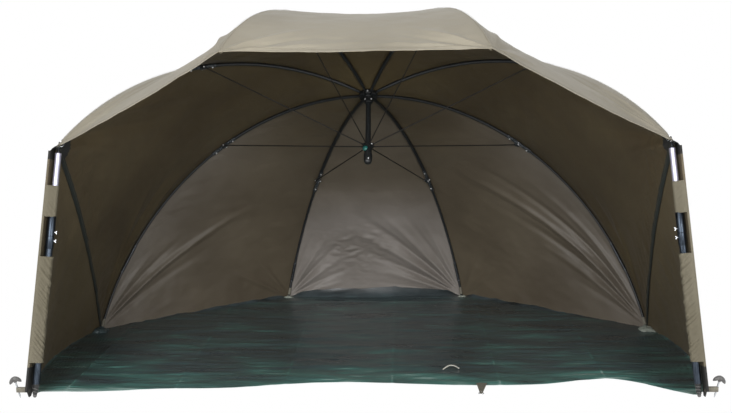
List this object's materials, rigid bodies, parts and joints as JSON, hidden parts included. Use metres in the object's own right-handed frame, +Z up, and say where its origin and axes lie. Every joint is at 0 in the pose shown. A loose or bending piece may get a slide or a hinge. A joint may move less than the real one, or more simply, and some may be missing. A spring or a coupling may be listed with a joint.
{
  "type": "fishing umbrella",
  "caption": "Oval fishing umbrella leaning back on a ribbed dome, with storm sides, telescopic front poles, pegs and a groundsheet; it folds like an umbrella.",
  "frame": {"origin": "on the ground under the middle of the shelter", "axes": "+Z up, +X to the right of someone looking in from the front, +Y towards the closed back"},
  "size_m": [2.8278, 2.1742, 1.5129],
  "materials": {
    "canopy_cloth": "coated woven polyester, khaki outside",
    "storm_cloth": "coated woven polyester",
    "groundsheet_pe": "woven PE tarpaulin, satin",
    "rib_black": "black enamel, satin",
    "bracket_steel": "black plated steel",
    "hub_nylon": "moulded nylon",
    "pin_steel": "bright plated wire",
    "pole_silver": "bright drawn tube",
    "pole_gunmetal": "gunmetal anodised",
    "button_green": "moulded green plastic",
    "peg_plastic": "grey moulded head on a steel pin"
  },
  "bodies": {
    "root": {"groundsheet": "groundsheet_pe", "pole_lower_tube_left": "pole_gunmetal", "pole_lower_tube_right": "pole_gunmetal", "pole_foot_left": "hub_nylon", "pole_foot_right": "hub_nylon", "pole_clamp_left": "bracket_steel", "pole_clamp_right": "bracket_steel"},
    "umbrella": {"hub_crown": "hub_nylon", "crown_cap": "hub_nylon", "rib_hinge_ring": "pin_steel", "centre_tube": "rib_black", "canopy": "canopy_cloth", "storm_side_left": "storm_cloth", "storm_side_right": "storm_cloth"},
    "runner": {"runner": "hub_nylon", "runner_end_cap": "hub_nylon", "stretcher_hinge_ring": "pin_steel", "button_spring": "pin_steel"},
    "release_button": {"release_button": "button_green"},
    "rib_front_left": {"rib_front_left_upper": "rib_black", "rib_front_left_bracket": "bracket_steel", "rib_front_left_lower": "rib_black"},
    "stretcher_front_left": {"stretcher_front_left": "rib_black"},
    "rib_front_right": {"rib_front_right_upper": "rib_black", "rib_front_right_bracket": "bracket_steel", "rib_front_right_lower": "rib_black"},
    "stretcher_front_right": {"stretcher_front_right": "rib_black"},
    "rib_side_left": {"rib_side_left_upper": "rib_black", "rib_side_left_bracket": "bracket_steel", "rib_side_left_lower": "rib_black"},
    "stretcher_side_left": {"stretcher_side_left": "rib_black"},
    "rib_side_right": {"rib_side_right_upper": "rib_black", "rib_side_right_bracket": "bracket_steel", "rib_side_right_lower": "rib_black"},
    "stretcher_side_right": {"stretcher_side_right": "rib_black"},
    "rib_flank_left": {"rib_flank_left_upper": "rib_black", "rib_flank_left_bracket": "bracket_steel", "rib_flank_left_lower": "rib_black"},
    "stretcher_flank_left": {"stretcher_flank_left": "rib_black"},
    "rib_flank_right": {"rib_flank_right_upper": "rib_black", "rib_flank_right_bracket": "bracket_steel", "rib_flank_right_lower": "rib_black"},
    "stretcher_flank_right": {"stretcher_flank_right": "rib_black"},
    "rib_rear_left": {"rib_rear_left_upper": "rib_black", "rib_rear_left_bracket": "bracket_steel", "rib_rear_left_lower": "rib_black"},
    "stretcher_rear_left": {"stretcher_rear_left": "rib_black"},
    "rib_rear_right": {"rib_rear_right_upper": "rib_black", "rib_rear_right_bracket": "bracket_steel", "rib_rear_right_lower": "rib_black"},
    "stretcher_rear_right": {"stretcher_rear_right": "rib_black"},
    "pole_upper_left": {"pole_upper_tube_left": "pole_silver"},
    "thumbscrew_lower_left": {"thumbscrew_lower_left": "pin_steel"},
    "thumbscrew_upper_left": {"thumbscrew_upper_left": "pin_steel"},
    "peg_left": {"peg_left": "peg_plastic"},
    "pole_upper_right": {"pole_upper_tube_right": "pole_silver"},
    "thumbscrew_lower_right": {"thumbscrew_lower_right": "pin_steel"},
    "thumbscrew_upper_right": {"thumbscrew_upper_right": "pin_steel"},
    "peg_right": {"peg_right": "peg_plastic"}
  },
  "joints": [
    {"name": "umbrella_lift", "type": "slide", "parent": "root", "child": "umbrella", "axis": [0, 0, 1], "range_m": [0, 1.1], "deforming": ["canopy", "storm_side_left", "storm_side_right"]},
    {"name": "runner_slide", "type": "slide", "parent": "umbrella", "child": "runner", "axis": [0, -0.5358, -0.8443], "range_m": [0, 1.113]},
    {"name": "button_press", "type": "slide", "parent": "runner", "child": "release_button", "axis": [0.4067, 0.7713, -0.4895], "range_m": [0, 0.003], "stiffness_N_per_m": 400, "deforming": ["button_spring"]},
    {"name": "rib_fold_front_left", "type": "hinge", "parent": "umbrella", "child": "rib_front_left", "pos_m": [-0.01094, 0.28549, 1.16112], "axis": [0.9397, -0.2888, 0.1833], "range_deg": [0, 54.1]},
    {"name": "stretcher_fold_front_left", "type": "hinge", "parent": "runner", "child": "stretcher_front_left", "pos_m": [-0.00718, 0.14848, 0.92592], "axis": [-0.9397, 0.2888, -0.1833], "range_deg": [0, 46.98]},
    {"name": "rib_fold_front_right", "type": "hinge", "parent": "umbrella", "child": "rib_front_right", "pos_m": [0.01094, 0.28549, 1.16112], "axis": [0.9397, 0.2888, -0.1833], "range_deg": [0, 54.1]},
    {"name": "stretcher_fold_front_right", "type": "hinge", "parent": "runner", "child": "stretcher_front_right", "pos_m": [0.00718, 0.14848, 0.92592], "axis": [-0.9397, -0.2888, 0.1833], "range_deg": [0, 46.98]},
    {"name": "rib_fold_side_left", "type": "hinge", "parent": "umbrella", "child": "rib_side_left", "pos_m": [-0.02823, 0.29816, 1.15308], "axis": [0.471, -0.7448, 0.4727], "range_deg": [0, 54.1]},
    {"name": "stretcher_fold_side_left", "type": "hinge", "parent": "runner", "child": "stretcher_side_left", "pos_m": [-0.01852, 0.15679, 0.92065], "axis": [-0.471, 0.7448, -0.4727], "range_deg": [0, 46.98]},
    {"name": "rib_fold_side_right", "type": "hinge", "parent": "umbrella", "child": "rib_side_right", "pos_m": [0.02823, 0.29816, 1.15308], "axis": [0.471, 0.7448, -0.4727], "range_deg": [0, 54.1]},
    {"name": "stretcher_fold_side_right", "type": "hinge", "parent": "runner", "child": "stretcher_side_right", "pos_m": [0.01852, 0.15679, 0.92065], "axis": [-0.471, -0.7448, 0.4727], "range_deg": [0, 46.98]},
    {"name": "rib_fold_flank_left", "type": "hinge", "parent": "umbrella", "child": "rib_flank_left", "pos_m": [-0.02883, 0.3226, 1.13757], "axis": [-0.4337, -0.7608, 0.4828], "range_deg": [0, 54.1]},
    {"name": "stretcher_fold_flank_left", "type": "hinge", "parent": "runner", "child": "stretcher_flank_left", "pos_m": [-0.01892, 0.17283, 0.91047], "axis": [0.4337, 0.7608, -0.4828], "range_deg": [0, 46.98]},
    {"name": "rib_fold_flank_right", "type": "hinge", "parent": "umbrella", "child": "rib_flank_right", "pos_m": [0.02883, 0.3226, 1.13757], "axis": [-0.4337, 0.7608, -0.4828], "range_deg": [0, 54.1]},
    {"name": "stretcher_fold_flank_right", "type": "hinge", "parent": "runner", "child": "stretcher_flank_right", "pos_m": [0.01892, 0.17283, 0.91047], "axis": [0.4337, -0.7608, 0.4828], "range_deg": [0, 46.98]},
    {"name": "rib_fold_rear_left", "type": "hinge", "parent": "umbrella", "child": "rib_rear_left", "pos_m": [-0.01152, 0.33609, 1.12901], "axis": [-0.933, -0.304, 0.1929], "range_deg": [0, 54.1]},
    {"name": "stretcher_fold_rear_left", "type": "hinge", "parent": "runner", "child": "stretcher_rear_left", "pos_m": [-0.00756, 0.18168, 0.90485], "axis": [0.933, 0.304, -0.1929], "range_deg": [0, 46.98]},
    {"name": "rib_fold_rear_right", "type": "hinge", "parent": "umbrella", "child": "rib_rear_right", "pos_m": [0.01152, 0.33609, 1.12901], "axis": [-0.933, 0.304, -0.1929], "range_deg": [0, 54.1]},
    {"name": "stretcher_fold_rear_right", "type": "hinge", "parent": "runner", "child": "stretcher_rear_right", "pos_m": [0.00756, 0.18168, 0.90485], "axis": [0.933, -0.304, 0.1929], "range_deg": [0, 46.98]},
    {"name": "pole_telescope_left", "type": "slide", "parent": "root", "child": "pole_upper_left", "axis": [-0.091, -0.1772, -0.98], "range_m": [0, 0.25]},
    {"name": "thumbscrew_turn_lower_left", "type": "hinge", "parent": "root", "child": "thumbscrew_lower_left", "pos_m": [-1.24334, -0.61275, 0.61053], "axis": [0.9959, -0.0162, -0.0895], "range_deg": [0, 360]},
    {"name": "thumbscrew_turn_upper_left", "type": "hinge", "parent": "root", "child": "thumbscrew_upper_left", "pos_m": [-1.24024, -0.60672, 0.64385], "axis": [0.9959, -0.0162, -0.0895], "range_deg": [0, 360]},
    {"name": "peg_pull_left", "type": "slide", "parent": "root", "child": "peg_left", "axis": [-0.2588, 0, 0.9659], "range_m": [0, 0.12]},
    {"name": "pole_telescope_right", "type": "slide", "parent": "root", "child": "pole_upper_right", "axis": [0.091, -0.1772, -0.98], "range_m": [0, 0.25]},
    {"name": "thumbscrew_turn_lower_right", "type": "hinge", "parent": "root", "child": "thumbscrew_lower_right", "pos_m": [1.24334, -0.61275, 0.61053], "axis": [-0.9959, -0.0162, -0.0895], "range_deg": [0, 360]},
    {"name": "thumbscrew_turn_upper_right", "type": "hinge", "parent": "root", "child": "thumbscrew_upper_right", "pos_m": [1.24024, -0.60672, 0.64385], "axis": [-0.9959, -0.0162, -0.0895], "range_deg": [0, 360]},
    {"name": "peg_pull_right", "type": "slide", "parent": "root", "child": "peg_right", "axis": [0.2588, 0, 0.9659], "range_m": [0, 0.12]}
  ],
  "couplings": [
    {"joint": "runner_slide", "follows": "umbrella_lift", "ratio": 1.0107},
    {"joint": "rib_fold_front_left", "follows": "umbrella_lift", "rad_per_m": 0.8568},
    {"joint": "stretcher_fold_front_left", "follows": "umbrella_lift", "rad_per_m": 0.74379},
    {"joint": "rib_fold_front_right", "follows": "umbrella_lift", "rad_per_m": 0.8568},
    {"joint": "stretcher_fold_front_right", "follows": "umbrella_lift", "rad_per_m": 0.74379},
    {"joint": "rib_fold_side_left", "follows": "umbrella_lift", "rad_per_m": 0.8568},
    {"joint": "stretcher_fold_side_left", "follows": "umbrella_lift", "rad_per_m": 0.74379},
    {"joint": "rib_fold_side_right", "follows": "umbrella_lift", "rad_per_m": 0.8568},
    {"joint": "stretcher_fold_side_right", "follows": "umbrella_lift", "rad_per_m": 0.74379},
    {"joint": "rib_fold_flank_left", "follows": "umbrella_lift", "rad_per_m": 0.8568},
    {"joint": "stretcher_fold_flank_left", "follows": "umbrella_lift", "rad_per_m": 0.74379},
    {"joint": "rib_fold_flank_right", "follows": "umbrella_lift", "rad_per_m": 0.8568},
    {"joint": "stretcher_fold_flank_right", "follows": "umbrella_lift", "rad_per_m": 0.74379},
    {"joint": "rib_fold_rear_left", "follows": "umbrella_lift", "rad_per_m": 0.8568},
    {"joint": "stretcher_fold_rear_left", "follows": "umbrella_lift", "rad_per_m": 0.74379},
    {"joint": "rib_fold_rear_right", "follows": "umbrella_lift", "rad_per_m": 0.8568},
    {"joint": "stretcher_fold_rear_right", "follows": "umbrella_lift", "rad_per_m": 0.74379}
  ]
}
